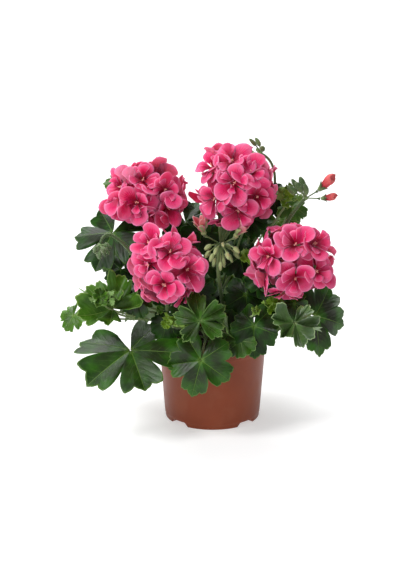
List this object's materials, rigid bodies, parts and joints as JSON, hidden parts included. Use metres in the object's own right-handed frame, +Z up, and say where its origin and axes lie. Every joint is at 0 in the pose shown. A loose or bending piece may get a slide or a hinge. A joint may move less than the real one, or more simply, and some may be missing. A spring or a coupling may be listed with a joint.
{
  "type": "potted geranium",
  "caption": "Ivy-leaved geranium in a round tapered plastic pot, with rounded heads of pink flowers, umbels in bud and lobed green leaves on long stalks.",
  "frame": {"origin": "on the floor at the pot's axis, the middle of the underside that the pot stands on", "axes": "+Z up along the pot's axis, -Y towards the front that the picture shows, +X to the viewer's right"},
  "size_m": [0.315, 0.2276, 0.3065],
  "materials": {
    "pot_plastic": "satin",
    "potting_soil": "matte",
    "stem_skin": "matte",
    "leaf_blade": "satin",
    "young_leaf": "satin",
    "petal": "matte",
    "green_stalk": "matte",
    "green_bud": "matte",
    "pink_bud": "matte"
  },
  "bodies": {
    "root": {"pot": "pot_plastic", "soil": "potting_soil", "stem_left_front": "stem_skin", "stem_left_back": "stem_skin", "stem_centre": "stem_skin", "stem_front": "stem_skin", "stem_right_front": "stem_skin", "stem_right_back": "stem_skin", "stem_back": "stem_skin", "leaf_low_left": "leaf_blade", "leaf_left_upper": "leaf_blade", "leaf_left_mid": "young_leaf", "leaf_left_tip": "young_leaf", "leaf_left_shade": "leaf_blade", "leaf_pot_front": "leaf_blade", "leaf_front_young": "young_leaf", "leaf_rim_right": "leaf_blade", "leaf_right_young": "young_leaf", "leaf_right_far": "leaf_blade", "leaf_right_inner": "leaf_blade", "leaf_left_top": "young_leaf", "leaf_left_hidden": "leaf_blade", "leaf_gap_left": "leaf_blade", "leaf_gap_right": "leaf_blade", "leaf_right_top": "young_leaf", "leaf_centre_high": "leaf_blade", "leaf_centre_dark": "leaf_blade", "leaf_centre_left": "leaf_blade", "leaf_back_top": "leaf_blade", "leaf_back_left": "leaf_blade", "leaf_back_low_left": "leaf_blade", "leaf_back_middle": "leaf_blade", "leaf_back_low_right": "leaf_blade", "leaf_back_right": "leaf_blade", "flowers_left": "petal", "flower_stalk_left": "green_stalk", "flowers_centre": "petal", "flower_stalk_centre": "green_stalk", "flowers_low": "petal", "flower_stalk_low": "green_stalk", "flowers_right": "petal", "flower_stalk_right": "green_stalk", "bud_umbel_top": "green_bud", "bud_umbel_right": "green_bud", "bud_umbel_left": "green_bud", "opening_bud_right_high": "pink_bud", "opening_bud_right_low": "pink_bud", "opening_bud_hub_left": "pink_bud", "opening_bud_hub_right": "pink_bud"}
  },
  "joints": []
}
